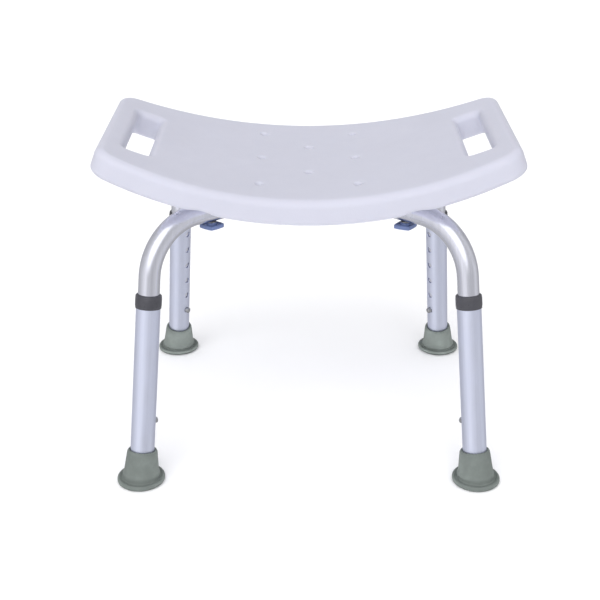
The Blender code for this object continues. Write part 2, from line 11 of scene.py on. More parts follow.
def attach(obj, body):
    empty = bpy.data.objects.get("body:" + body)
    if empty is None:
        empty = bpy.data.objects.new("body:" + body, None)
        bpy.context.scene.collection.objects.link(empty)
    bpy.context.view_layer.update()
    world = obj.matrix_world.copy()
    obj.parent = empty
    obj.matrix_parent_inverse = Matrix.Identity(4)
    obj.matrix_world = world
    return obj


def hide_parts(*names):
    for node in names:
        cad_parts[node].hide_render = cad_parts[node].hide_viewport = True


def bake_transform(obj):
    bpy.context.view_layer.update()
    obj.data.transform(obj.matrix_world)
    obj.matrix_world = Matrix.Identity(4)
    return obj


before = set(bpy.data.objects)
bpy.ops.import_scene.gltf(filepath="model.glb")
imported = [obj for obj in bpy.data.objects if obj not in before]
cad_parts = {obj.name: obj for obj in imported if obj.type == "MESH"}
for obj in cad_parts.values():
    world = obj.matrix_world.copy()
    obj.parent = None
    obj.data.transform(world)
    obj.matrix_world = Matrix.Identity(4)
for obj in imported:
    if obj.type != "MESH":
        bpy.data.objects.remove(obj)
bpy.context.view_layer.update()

# The design's own numbers, in metres, as in the CAD source
SEAT_LENGTH, SEAT_DEPTH, SEAT_EDGE_BOW, SEAT_RISE = 0.480, 0.305, 0.030, 0.0514
SEAT_TOP_HEIGHT, SEAT_THICKNESS, SEAT_CORNER_RADIUS = 0.346, 0.031, 0.022
SEAT_TOP_FILLET, SEAT_BOTTOM_FILLET, SEAT_DRAFT = 0.010, 0.006, 0.002
CHANNEL_PLACE, CHANNEL_HALF_WIDTH, CHANNEL_DEPTH = 0.117, 0.022, 0.003
HAND_HOLE_PLACE, HAND_HOLE_LENGTH, HAND_HOLE_WIDTH = 0.2033, 0.148, 0.0295
HAND_HOLE_CORNER, HAND_HOLE_TOP_FILLET, HAND_HOLE_BOTTOM_FILLET = 0.006, 0.009, 0.003
DRAIN_COLUMN, DRAIN_ROW, DRAIN_RADIUS = 0.057, 0.0976, 0.0025
DRAIN_CONE_RADIUS, DRAIN_CONE_DEPTH = 0.0055, 0.0035
VENT_RADIUS = 0.003
CRADLE_HALF_WIDTH, CRADLE_BOTTOM, CRADLE_START, CRADLE_END = 0.0200, 0.3095, 0.0040, 0.0950
FOOT_X, FOOT_Y = {"front": 0.2020, "rear": 0.1904}, 0.1790
LEG_RUN_IN_X, LEG_RUN_IN_Y = 0.0710, 0.1850  # how far the leg leans in over a height of 1
BEND_AZIMUTH, BEND_RADIUS = math.radians(37), 0.072
ARM_HEIGHT, ARM_LENGTH = 0.3065, 0.085
UPPER_TUBE_RADIUS, UPPER_TUBE_WALL, UPPER_TUBE_END = 0.0127, 0.0012, 0.0510
LOWER_TUBE_RADIUS, LOWER_TUBE_WALL = 0.0143, 0.0013
LOWER_TUBE_END, LOWER_TUBE_TOP = 0.0150, 0.2280
HOLE_PITCH, HOLE_COUNT, HOLE_RADIUS = 0.0254, 6, 0.0040
BUTTON_HEIGHT, BUTTON_RADIUS, BUTTON_TIP, BUTTON_BASE = 0.0738, 0.0036, 0.0190, 0.0090
BUTTON_FLANGE_RADIUS, BUTTON_FLANGE = 0.0046, 0.0008
COLLAR_RADIUS, COLLAR_BOTTOM, COLLAR_TOP = 0.0156, 0.2148, 0.2310
FOOT_RADIUS, FOOT_TOP, FOOT_TOP_RADIUS = 0.0286, 0.0392, 0.0182
KNOB_ALONG_ARM, KNOB_LENGTH, KNOB_WIDTH, KNOB_THICKNESS = 0.0205, 0.029, 0.024, 0.0052
KNOB_NECK, KNOB_NECK_RADIUS, KNOB_POINTEDNESS = 0.0020, 0.0062, 1.70
KNOB_TURNS = {"front_left": 3, "front_right": 15, "rear_left": 64, "rear_right": 35}  # degrees
SCREW_RADIUS, SCREW_TOP, SCREW_HEAD_RADIUS, SCREW_HEAD_HEIGHT = 0.0030, 0.3330, 0.0057, 0.0030
WASHER_RADIUS, WASHER_THICKNESS = 0.0058, 0.0010
INSERT_RADIUS, INSERT_TOP = 0.0045, 0.3335
GAP = 0.0003
CORNERS = {"front_left": (-1, -1), "front_right": (1, -1), "rear_left": (-1, 1), "rear_right": (1, 1)}
SEAT_ARC_RADIUS = ((SEAT_LENGTH / 2) ** 2 + SEAT_RISE**2) / (2 * SEAT_RISE)
SEAT_HALF_ARC = SEAT_ARC_RADIUS * math.asin(SEAT_LENGTH / 2 / SEAT_ARC_RADIUS)
WASHER_BOTTOM = ARM_HEIGHT - UPPER_TUBE_RADIUS - GAP - WASHER_THICKNESS
NECK_TOP = WASHER_BOTTOM - GAP
UP = Vector((0, 0, 1))

# Roundings and room that only the fine meshes have
CRADLE_CORNER, CRADLE_EDGE, CRADLE_FILLET, CRADLE_DRAFT = 0.009, 0.003, 0.005, 0.0012
CRADLE_ROOT = 0.010  # how deep under the seat's top the cradles begin
CRADLE_DRAFT_HEIGHT = 0.01  # the height over which a cradle narrows by its draft
GROOVE_ROOM, GROOVE_PAST_ARM, GROOVE_EDGE = GAP + 0.0001, 0.0043, 0.0010
POCKET_ROOM = 0.0012  # round the brass insert
FLARE_END, FLARE_FADE = 0.012, 0.008  # depth where a hand-hole's top fillet starts to give way
DRAIN_EDGE, VENT_EDGE = 0.0020, 0.0006
VENT_DEPTH = 0.007  # how far the vent reaches up from the underside
TUBE_EDGE, HOLE_EDGE = 0.0003, 0.00045
SCREW_HOLE_ROOM = 0.0005
THREAD_PITCH, THREAD_DEPTH, THREAD_STEPS = 0.001, 0.00055, 5

# How fine the meshes are
TUBE_SIDES, TURNED_SIDES, BEND_STEPS, STRAIGHT_STEPS = 64, 64, 28, 12
HOLE_SIDES, BUTTON_SIDES, SCREW_SIDES, FLOOR_SIDES = 32, 40, 24, 96
SMOOTH_ANGLE, FIELD_ANGLE = 40, 60  # degrees; sharper edges than this keep their crease


# Meshes


def smooth(mesh, angle=SMOOTH_ANGLE):
    mesh.shade_smooth()
    mesh.set_sharp_from_angle(angle=math.radians(angle))


def mesh_from(vertices, faces):
    mesh = bpy.data.meshes.new("mesh")
    mesh.from_pydata(vertices, [], faces)
    mesh.validate()
    return mesh


def turn_outwards(mesh, merge_distance=None):
    """Merges points that are closer than the distance, if one is given, and turns the faces outwards."""
    bm = bmesh.new()
    bm.from_mesh(mesh)
    if merge_distance:
        bmesh.ops.remove_doubles(bm, verts=bm.verts, dist=merge_distance)
    bmesh.ops.recalc_face_normals(bm, faces=bm.faces)
    bm.to_mesh(mesh)
    bm.free()


def loft(rings, closed=False, smooth_angle=SMOOTH_ANGLE):
    """A mesh through rings of points. An open loft gets a fan of faces over each end."""
    count = len(rings[0])
    vertices = [tuple(point) for ring in rings for point in ring]
    faces = []
    rows = len(rings)
    for row in range(rows if closed else rows - 1):
        low, high = row * count, (row + 1) % rows * count
        for i in range(count):
            j = (i + 1) % count
            faces.append((low + i, low + j, high + j, high + i))
    if not closed:
        for row, flip in ((0, True), (rows - 1, False)):
            ring = rings[row]
            centre = sum((Vector(p) for p in ring), Vector()) / count
            vertices.append(tuple(centre))
            middle = len(vertices) - 1
            for i in range(count):
                a, b = row * count + i, row * count + (i + 1) % count
                faces.append((b, a, middle) if flip else (a, b, middle))
    mesh = mesh_from(vertices, faces)
    turn_outwards(mesh)
    smooth(mesh, smooth_angle)
    return mesh


def circle(radius, height, sides=TURNED_SIDES, centre=(0.0, 0.0), start=0.0):
    steps = [start + 2 * math.pi * i / sides for i in range(sides)]
    return [
        Vector((centre[0] + radius * math.cos(a), centre[1] + radius * math.sin(a), height))
        for a in steps
    ]


def turned(profile, closed=False, sides=TURNED_SIDES):
    """A solid of revolution from a profile of (radius, height)."""
    return loft([circle(radius, height, sides) for radius, height in profile], closed)


def softened(profile, closed=False, radius=0.0004, steps=3):
    """The same (radius, height) profile with every corner rounded by a small arc."""
    points = [Vector(p) for p in profile]
    count = len(points)
    out = []
    for i, point in enumerate(points):
        if not closed and i in (0, count - 1):
            out.append(point)
            continue
        before, after = points[i - 1] - point, points[(i + 1) % count] - point
        cut = min(radius, before.length * 0.45, after.length * 0.45)
        start, end = point + before.normalized() * cut, point + after.normalized() * cut
        for k in range(steps + 1):
            t = k / steps
            out.append(start * (1 - t) ** 2 + point * 2 * t * (1 - t) + end * t**2)
    return [(p.x, p.y) for p in out]


def add_object(name, data):
    thing = bpy.data.objects.new(name, data)
    bpy.context.scene.collection.objects.link(thing)
    return thing


def cover(mesh, material):
    """Leaves the mesh with this one material."""
    mesh.materials.clear()
    mesh.materials.append(material)


def place(name, mesh, matrix, materials, slot, body, node):
    """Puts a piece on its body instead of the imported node."""
    piece = add_object(name, mesh)
    piece.matrix_world = matrix
    cover(mesh, materials[slot])
    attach(piece, body)
    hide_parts(node)


def cut_away(mesh, cutters):
    """A new mesh: mesh less the cutters, all in the same coordinates."""
    target = add_object("target", mesh)
    tools = []
    for cutter in cutters:
        tool = add_object("tool", cutter)
        modifier = target.modifiers.new("cut", "BOOLEAN")
        modifier.operation = "DIFFERENCE"
        modifier.solver = "EXACT"
        modifier.object = tool
        tools.append(tool)
    graph = bpy.context.evaluated_depsgraph_get()
    made = bpy.data.meshes.new_from_object(target.evaluated_get(graph))
    for thing in [target, *tools]:
        bpy.data.objects.remove(thing)
    smooth(made)
    return made


# Rounded solids from a field: negative inside, zero on the surface, roughly a distance


def round_max(a, b, radius):
    """Both a and b, with the edge between them rounded."""
    return np.minimum(np.maximum(a, b), -radius) + np.hypot(
        np.maximum(a + radius, 0), np.maximum(b + radius, 0)
    )


def fillet_min(a, b, radius):
    """Either a or b, with a fillet in the corner between them."""
    return np.maximum(np.minimum(a, b), radius) - np.hypot(
        np.maximum(radius - a, 0), np.maximum(radius - b, 0)
    )


def surface_net(field, axes):
    """Points and quads of the zero surface of field on the grid that axes give."""
    value = field(*np.meshgrid(*axes, indexing="ij", sparse=True))
    inside = value < 0
    low, high = slice(None, -1), slice(1, None)
    corners = [(a, b, c) for a in (low, high) for b in (low, high) for c in (low, high)]
    some, every = np.zeros_like(inside[1:, 1:, 1:]), np.ones_like(inside[1:, 1:, 1:])
    for corner in corners:
        some |= inside[corner]
        every &= inside[corner]
    active = some & ~every
    cells = np.nonzero(active)
    index = np.full(active.shape, -1, np.int64)
    index[cells] = np.arange(len(cells[0]))
    total = np.zeros((len(cells[0]), 3))
    hits = np.zeros(len(cells[0]))
    for axis in range(3):
        others = [k for k in range(3) if k != axis]
        for first in (0, 1):
            for second in (0, 1):
                shift = [0, 0, 0]
                shift[others[0]], shift[others[1]] = first, second
                start = tuple(cells[k] + shift[k] for k in range(3))
                shift[axis] = 1
                end = tuple(cells[k] + shift[k] for k in range(3))
                v0, v1 = value[start], value[end]
                crosses = (v0 < 0) != (v1 < 0)
                share = np.where(crosses, v0 / np.where(crosses, v0 - v1, 1), 0)
                point = np.stack([axes[k][start[k]] for k in range(3)], 1)
                point[:, axis] += share * (axes[axis][end[axis]] - axes[axis][start[axis]])
                total[crosses] += point[crosses]
                hits += crosses
    points = total / hits[:, None]
    quads = []
    for axis in range(3):
        u, v = (axis + 1) % 3, (axis + 2) % 3
        a = [slice(None)] * 3
        b = [slice(None)] * 3
        a[axis], b[axis] = low, high
        for k in (u, v):
            a[k] = b[k] = slice(1, -1)
        leaving = inside[tuple(a)] & ~inside[tuple(b)]
        entering = ~inside[tuple(a)] & inside[tuple(b)]
        for mask, order in ((leaving, 1), (entering, -1)):
            at = list(np.nonzero(mask))
            at[u] = at[u] + 1
            at[v] = at[v] + 1
            ring = []
            for du, dv in ((-1, -1), (0, -1), (0, 0), (-1, 0)):
                cell = list(at)
                cell[u] = at[u] + du
                cell[v] = at[v] + dv
                ring.append(index[tuple(cell)])
            quads.append(np.stack(ring, 1)[:, ::order])
    return points, np.concatenate(quads)


def onto_surface(field, points, rounds=4, step=2e-5):
    """Moves points along the field's slope until they lie on its zero surface."""
    for _ in range(rounds):
        here = field(*points.T)
        slope = np.stack(
            [
                (field(*(points + offset).T) - field(*(points - offset).T)) / (2 * step)
                for offset in np.eye(3) * step
            ],
            1,
        )
        size = np.maximum((slope**2).sum(1), 0.05)
        points = points - np.clip(here / size, -0.001, 0.001)[:, None] * slope
    return points


def fine_bands(places, reach, spacing):
    """Bands (start, end, spacing) for spaced(), one round each place."""
    return [(at - reach, at + reach, spacing) for at in places]


def spaced(low, high, coarse, bands):
    """Grid lines from low to high, coarse apart, or finer in each band (start, end, spacing)."""
    lines = [low]
    while lines[-1] < high:
        here = lines[-1]
        step = coarse
        for start, end, fine in bands:
            if start - step < here < end:
                step = min(step, fine)
        lines.append(here + step)
    return np.array(lines)


# Places that the pieces share


def axes_matrix(origin, x_axis, z_axis):
    """A frame with its Z along z_axis and its X as near to x_axis as it can be."""
    z_axis = z_axis.normalized()
    x_axis = (x_axis - z_axis * x_axis.dot(z_axis)).normalized()
    y_axis = z_axis.cross(x_axis)
    return Matrix.Translation(origin) @ Matrix((x_axis, y_axis, z_axis)).transposed().to_4x4()


def arm_direction(corner):
    """From the bend towards the arm's open end, which is towards the seat's middle."""
    side_x, side_y = CORNERS[corner]
    return Vector((-side_x * math.cos(BEND_AZIMUTH), -side_y * math.sin(BEND_AZIMUTH), 0))


def leg_matrix(corner):
    """The leg's frame: origin on the floor, Z up the leg's axis, X towards the arm's side."""
    side_x, side_y = CORNERS[corner]
    foot = Vector((side_x * FOOT_X[corner.split("_")[0]], side_y * FOOT_Y, 0))
    up_leg = Vector((-side_x * LEG_RUN_IN_X, -side_y * LEG_RUN_IN_Y, 1))
    return axes_matrix(foot, arm_direction(corner), up_leg)


def bend_geometry():
    """The angle that the tube turns through, and the height along the leg where the bend starts."""
    leg_axis = leg_matrix("front_left").col[2].to_3d()
    turn = leg_axis.angle(arm_direction("front_left"))
    return turn, ARM_HEIGHT / leg_axis.z - BEND_RADIUS * math.tan(turn / 2)


BEND_TURN, BEND_START = bend_geometry()
BUTTON_PLACE = axes_matrix(Vector((0, 0, BUTTON_HEIGHT)), Vector((0, 0, 1)), Vector((1, 0, 0)))


def bend_station(angle):
    """A station of the tube's middle line: its place in the leg's frame and how far it has turned."""
    along = BEND_RADIUS * (1 - math.cos(angle))
    return Vector((along, 0, BEND_START + BEND_RADIUS * math.sin(angle))), angle


def arm_station(along):
    end, angle = bend_station(BEND_TURN)
    return end + Vector((math.sin(angle), 0, math.cos(angle))) * along, angle


def arm_point(corner, along):
    return leg_matrix(corner) @ arm_station(along)[0]


# Seat


def bent(along, across, depth):
    """World places from the length along the seat's arc, the place across and the depth under its top."""
    angle = along / SEAT_ARC_RADIUS
    top = SEAT_TOP_HEIGHT + SEAT_ARC_RADIUS * (1 - np.cos(angle))
    return SEAT_ARC_RADIUS * np.sin(angle), across, top - depth / np.cos(angle)


def rectangle_field(x, y, half_x, half_y, corner):
    """A rectangle with rounded corners."""
    a, b = np.abs(x) - half_x + corner, np.abs(y) - half_y + corner
    return np.hypot(np.maximum(a, 0), np.maximum(b, 0)) + np.minimum(np.maximum(a, b), 0) - corner


def slab_field(along, across, depth):
    """The seat without openings or cradles."""
    half_depth = SEAT_DEPTH / 2 - SEAT_EDGE_BOW * (along / SEAT_HALF_ARC) ** 2
    outline = rectangle_field(along, across, SEAT_HALF_ARC, half_depth, SEAT_CORNER_RADIUS)
    outline = outline + SEAT_DRAFT * np.clip(depth / SEAT_THICKNESS, 0, 1)
    off = np.abs(np.abs(along) - CHANNEL_PLACE) / CHANNEL_HALF_WIDTH
    thickness = SEAT_THICKNESS - CHANNEL_DEPTH * np.cos(np.pi / 2 * np.minimum(off, 1)) ** 2
    upper = round_max(outline, -depth, SEAT_TOP_FILLET)
    lower = round_max(outline, depth - thickness, SEAT_BOTTOM_FILLET)
    return np.maximum(upper, lower)


def cradle_places(x, y):
    """The distance along and across the nearest arm, from the end of its bend."""
    front, rear = arm_point("front_right", 0), arm_point("rear_right", 0)
    direction = arm_direction("rear_right")
    dx, dy = np.abs(x) - np.where(y < 0, front.x, rear.x), np.abs(y) - rear.y
    return dx * direction.x + dy * direction.y, dx * direction.y - dy * direction.x


def seat_field(along, across, depth):
    x, y, z = bent(along, across, depth)
    down = SEAT_TOP_HEIGHT + SEAT_ARC_RADIUS - z
    square_along = SEAT_ARC_RADIUS * np.arctan2(x, down)
    square_depth = np.hypot(x, down) - SEAT_ARC_RADIUS
    body = slab_field(square_along, across, square_depth)

    t, s = cradle_places(x, y)
    length = (CRADLE_END - CRADLE_START) / 2
    narrow = CRADLE_DRAFT * np.clip((z - CRADLE_BOTTOM) / CRADLE_DRAFT_HEIGHT, 0, 1.5)
    block = rectangle_field(t - CRADLE_START - length, s, length, CRADLE_HALF_WIDTH, CRADLE_CORNER)
    block = round_max(block - narrow + CRADLE_DRAFT, CRADLE_BOTTOM - z, CRADLE_EDGE)
    block = np.maximum(block, CRADLE_ROOT - depth)
    body = fillet_min(body, block, CRADLE_FILLET)
    groove = np.hypot(s, z - ARM_HEIGHT) - (UPPER_TUBE_RADIUS + GROOVE_ROOM)
    groove = np.maximum(groove, t - ARM_LENGTH - GROOVE_PAST_ARM)
    body = round_max(body, -groove, GROOVE_EDGE)
    from_screw = np.hypot(t - KNOB_ALONG_ARM, s)
    pocket = np.maximum(from_screw - INSERT_RADIUS - POCKET_ROOM, z - INSERT_TOP - POCKET_ROOM)
    body = np.maximum(body, -pocket)

    off = np.abs(square_along) - HAND_HOLE_PLACE
    opening = rectangle_field(off, across, HAND_HOLE_WIDTH / 2, HAND_HOLE_LENGTH / 2, HAND_HOLE_CORNER)
    low = np.clip((square_depth - FLARE_END) / FLARE_FADE, 0, 1)
    fillet = HAND_HOLE_TOP_FILLET * (1 - low) + HAND_HOLE_BOTTOM_FILLET * low
    body = round_max(body, -opening, fillet)

    from_row = across - DRAIN_ROW * np.round(np.clip(across / DRAIN_ROW, -1, 1))
    side = np.hypot(np.abs(x) - DRAIN_COLUMN, from_row)
    middle = np.hypot(x, np.abs(across) - DRAIN_ROW / 2)
    cone = (DRAIN_CONE_RADIUS - DRAIN_RADIUS) * np.clip(1 - depth / DRAIN_CONE_DEPTH, 0, 1.5)
    drain = np.minimum(side, middle) - DRAIN_RADIUS - cone
    body = round_max(body, -drain, DRAIN_EDGE)
    vent = np.maximum(np.hypot(x, across) - VENT_RADIUS, SEAT_THICKNESS - VENT_DEPTH - depth)
    return round_max(body, -vent, VENT_EDGE)


def make_seat_mesh():
    """The seat's field on a grid that is finer round its openings and near its top."""
    drain_reach, drain_spacing = 0.0075, 0.0008
    hand_hole, hand_hole_reach, hand_hole_spacing = 0.206, 0.034, 0.0013
    columns = fine_bands((-DRAIN_COLUMN, 0, DRAIN_COLUMN), drain_reach, drain_spacing)
    columns += fine_bands((-hand_hole, hand_hole), hand_hole_reach, hand_hole_spacing)
    drain_rows = (-DRAIN_ROW, 0, DRAIN_ROW, -DRAIN_ROW / 2, DRAIN_ROW / 2)
    rows = fine_bands(drain_rows, drain_reach, drain_spacing)
    top_and_underside = [(-0.001, 0.012, 0.0011), (0.024, 0.036, 0.0012)]
    half_length, half_depth = SEAT_HALF_ARC + 0.016, SEAT_DEPTH / 2 + 0.004
    highest, lowest = -0.0035, 0.056
    axes = [
        spaced(-half_length, half_length, 0.0019, columns),
        spaced(-half_depth, half_depth, 0.0017, rows),
        spaced(highest, lowest, 0.0016, top_and_underside),
    ]
    points, quads = surface_net(seat_field, axes)
    points = onto_surface(seat_field, points)
    world = np.stack(bent(*points.T), 1)
    mesh = mesh_from(world.tolist(), quads[:, ::-1].tolist())
    smooth(mesh, FIELD_ANGLE)
    return mesh


# Legs


def tube_ring(station, radius):
    centre, angle = station
    across = Vector((math.cos(angle), 0, -math.sin(angle)))
    side = Vector((0, 1, 0))
    return [centre + radius * (across * p.x + side * p.y) for p in circle(1, 0, TUBE_SIDES)]


def make_upper_mesh(corner):
    """The bent tube with rounded ends, in the leg's frame. Its screw hole is upright in the world."""
    outer, inner = UPPER_TUBE_RADIUS, UPPER_TUBE_RADIUS - UPPER_TUBE_WALL
    straight = BEND_START - UPPER_TUBE_END
    heights = [UPPER_TUBE_END, UPPER_TUBE_END + 0.0004]
    heights += [UPPER_TUBE_END + straight * i / STRAIGHT_STEPS for i in range(1, STRAIGHT_STEPS)]
    stations = [(Vector((0, 0, height)), 0.0) for height in heights]
    stations += [bend_station(BEND_TURN * i / BEND_STEPS) for i in range(BEND_STEPS + 1)]
    places = (0.004, 0.0125, 0.021, 0.05, ARM_LENGTH - 0.0004, ARM_LENGTH)
    stations += [arm_station(along) for along in places]
    cuts = [TUBE_EDGE] + [0] * (len(stations) - 2) + [TUBE_EDGE]
    rings = [tube_ring(station, outer - cut) for station, cut in zip(stations, cuts)]
    rings += [tube_ring(station, inner + cut) for station, cut in zip(stations[::-1], cuts)]
    button_hole = turned([(HOLE_RADIUS, 0.004), (HOLE_RADIUS, 0.020)], sides=HOLE_SIDES)
    button_hole.transform(BUTTON_PLACE)
    wide = SCREW_RADIUS + SCREW_HOLE_ROOM
    screw_hole = turned([(wide, -0.02), (wide, 0.02)], sides=HOLE_SIDES)
    upright = Matrix.Translation(arm_point(corner, KNOB_ALONG_ARM))
    screw_hole.transform(leg_matrix(corner).inverted() @ upright)
    return cut_away(loft(rings, closed=True), [button_hole, screw_hole])


def lower_field(around, height, radius):
    """The lower tube unrolled at its outer radius, with its row of holes along around 0."""
    shell = round_max(radius - LOWER_TUBE_RADIUS, height - LOWER_TUBE_TOP, TUBE_EDGE)
    shell = np.maximum(shell, round_max(radius - LOWER_TUBE_RADIUS, LOWER_TUBE_END - height, TUBE_EDGE))
    inside = LOWER_TUBE_RADIUS - LOWER_TUBE_WALL - radius
    shell = np.maximum(shell, round_max(inside, height - LOWER_TUBE_TOP, TUBE_EDGE))
    shell = np.maximum(shell, round_max(inside, LOWER_TUBE_END - height, TUBE_EDGE))
    step = np.clip(np.round((height - BUTTON_HEIGHT) / HOLE_PITCH), 0, HOLE_COUNT - 1)
    angle = around / LOWER_TUBE_RADIUS
    turn = np.arctan2(np.sin(angle), np.cos(angle))
    off = np.hypot(turn * LOWER_TUBE_RADIUS, height - BUTTON_HEIGHT - step * HOLE_PITCH)
    return round_max(shell, HOLE_RADIUS - off, HOLE_EDGE)


def make_lower_mesh():
    """The lower tube's field on an unrolled grid that is finer round the holes, rolled up again."""
    reach, spacing, end_spacing = 0.0054, 0.0006, 0.0003
    near, circumference = reach / LOWER_TUBE_RADIUS, 2 * math.pi
    fine, coarse = spacing / LOWER_TUBE_RADIUS, circumference / TUBE_SIDES
    angles = list(np.linspace(-near, near, int(2 * near / fine) + 1))
    rest = np.linspace(near, circumference - near, int((circumference - 2 * near) / coarse) + 1)
    angles += list(rest[1:])
    angles.append(angles[1] + circumference)
    bands = fine_bands((LOWER_TUBE_END, LOWER_TUBE_TOP), 0.001, end_spacing)
    holes = [BUTTON_HEIGHT + step * HOLE_PITCH for step in range(HOLE_COUNT)]
    bands += fine_bands(holes, reach, spacing)
    inner = LOWER_TUBE_RADIUS - LOWER_TUBE_WALL
    axes = [
        np.array(angles) * LOWER_TUBE_RADIUS,
        spaced(LOWER_TUBE_END - 0.0011, LOWER_TUBE_TOP + 0.001, 0.005, bands),
        np.arange(inner - 0.00045, LOWER_TUBE_RADIUS + 0.0006, 0.00028),
    ]
    points, quads = surface_net(lower_field, axes)
    around, height, radius = onto_surface(lower_field, points).T
    angle = around / LOWER_TUBE_RADIUS
    rolled = np.stack([radius * np.cos(angle), radius * np.sin(angle), height], 1)
    mesh = mesh_from(rolled.tolist(), quads[:, ::-1].tolist())
    turn_outwards(mesh, merge_distance=2e-6)
    smooth(mesh, FIELD_ANGLE)
    return mesh


def make_collar_mesh():
    """A moulded collar with a step at the bottom, a shallow groove near the top and a bevelled lip."""
    wide, narrow, step = LOWER_TUBE_RADIUS + GAP, UPPER_TUBE_RADIUS + GAP, LOWER_TUBE_TOP + GAP
    profile = [
        (wide, COLLAR_BOTTOM),
        (COLLAR_RADIUS - 0.0003, COLLAR_BOTTOM),
        (COLLAR_RADIUS - 0.0003, COLLAR_BOTTOM + 0.0022),
        (COLLAR_RADIUS, COLLAR_BOTTOM + 0.0030),
        (COLLAR_RADIUS, COLLAR_TOP - 0.0040),
        (COLLAR_RADIUS - 0.0002, COLLAR_TOP - 0.0034),
        (COLLAR_RADIUS - 0.0002, COLLAR_TOP - 0.0014),
        (COLLAR_RADIUS - 0.0014, COLLAR_TOP),
        (narrow, COLLAR_TOP),
        (narrow, step),
        (wide, step),
    ]
    return turned(softened(profile, closed=True, radius=0.0006), closed=True)


def make_foot_mesh(corner):
    """The rubber foot: a level, stepped flange with treads, and a body that leans with the leg."""
    matrix = leg_matrix(corner)
    to_leg, origin, up_leg = matrix.inverted(), matrix.translation, matrix.col[2].to_3d()
    socket, socket_floor = LOWER_TUBE_RADIUS + GAP, 0.0129
    treads = [(0.0001, 0.0030), (0.0096, 0.0030), (0.0104, 0.0), (0.0130, 0.0), (0.0136, 0.0012)]
    treads += [(0.0150, 0.0012), (0.0156, 0.0), (0.0180, 0.0), (0.0186, 0.0012), (0.0200, 0.0012)]
    treads += [(0.0206, 0.0), (0.0230, 0.0), (0.0236, 0.0012), (0.0250, 0.0012), (0.0256, 0.0)]
    flange = [(0.0268, 0.0), (FOOT_RADIUS, 0.0016), (FOOT_RADIUS, 0.0046), (0.0273, 0.0061)]
    flange += [(0.0256, 0.0060), (0.0243, 0.0052), (0.0230, 0.0052), (0.0221, 0.0066)]
    body = [
        (0.0223, 0.0082),
        (0.0226, 0.0098),
        (0.0214, 0.0124),
        (0.0207, 0.0150),
        (FOOT_TOP_RADIUS + 0.0004, FOOT_TOP - 0.0060),
        (FOOT_TOP_RADIUS - 0.0002, FOOT_TOP - 0.0020),
        (FOOT_TOP_RADIUS - 0.0016, FOOT_TOP),
        (LOWER_TUBE_RADIUS + 0.0009, FOOT_TOP),
        (socket, FOOT_TOP - 0.0012),
        (socket, socket_floor),
        (0.0001, socket_floor),
    ]
    profile = softened(treads + flange + body, radius=0.0010, steps=4)
    world_x = to_leg.to_3x3() @ Vector((1, 0, 0))
    start = math.atan2(world_x.y, world_x.x)
    level_below, leaning_above = 0.0066, 0.0150
    rings = []
    highest = 0
    for radius, height in profile:
        highest = max(highest, height)
        lean = min(max((highest - level_below) / (leaning_above - level_below), 0), 1)
        centre = origin + up_leg * (height / up_leg.z)
        level = [to_leg @ (p + UP * height) for p in circle(radius, 0, centre=(centre.x, centre.y))]
        leaning = circle(radius, height, start=start)
        rings.append([a.lerp(b, lean) for a, b in zip(level, leaning)])
    return loft(rings)


def make_plug_mesh():
    """The plug, with its rim outside the tube and a shallow dish in the rim."""
    inside, depth = UPPER_TUBE_RADIUS - UPPER_TUBE_WALL - GAP, 0.0120
    rim, dish, top, dish_floor = UPPER_TUBE_RADIUS - 0.0004, 0.0044, 0.0024, 0.0017
    profile = [(0.0001, -depth), (inside - 0.0010, -depth), (inside, -depth + 0.0010)]
    profile += [(inside, GAP), (rim, GAP), (rim, dish_floor), (rim - 0.0012, top)]
    profile += [(dish + 0.0008, top), (dish, dish_floor), (0.0001, dish_floor)]
    return turned(softened(profile))


def make_button_mesh():
    dome, steps = 0.0018, 6
    flange_top = BUTTON_BASE + BUTTON_FLANGE
    profile = [(0.0001, BUTTON_BASE), (BUTTON_FLANGE_RADIUS, BUTTON_BASE)]
    profile += [(BUTTON_FLANGE_RADIUS, flange_top), (BUTTON_RADIUS, flange_top)]
    for i in range(steps + 1):
        angle = math.pi / 2 * i / steps
        height = BUTTON_TIP - dome + dome * math.sin(angle)
        profile.append((BUTTON_RADIUS * math.cos(angle) + 0.0001, height))
    return turned(profile, sides=BUTTON_SIDES)


# Thumb screws


def angles_round(sides):
    return [2 * math.pi * i / sides for i in range(sides)]


def lozenge(inset, height):
    """The knob's outline, this far inside its edge."""
    points = []
    for angle in angles_round(TURNED_SIDES):
        cos, sin = math.cos(angle), math.sin(angle)
        x = (KNOB_LENGTH / 2 - inset) * math.copysign(abs(cos) ** KNOB_POINTEDNESS, cos)
        y = (KNOB_WIDTH / 2 - inset) * math.copysign(abs(sin) ** KNOB_POINTEDNESS, sin)
        points.append(Vector((x, y, height)))
    return points


def hexagon(radius, height, sides=TURNED_SIDES):
    points = []
    for angle in angles_round(sides):
        off = (angle % (math.pi / 3)) - math.pi / 6
        reach = radius * math.cos(math.pi / 6) / math.cos(off)
        points.append(Vector((reach * math.cos(angle), reach * math.sin(angle), height)))
    return points


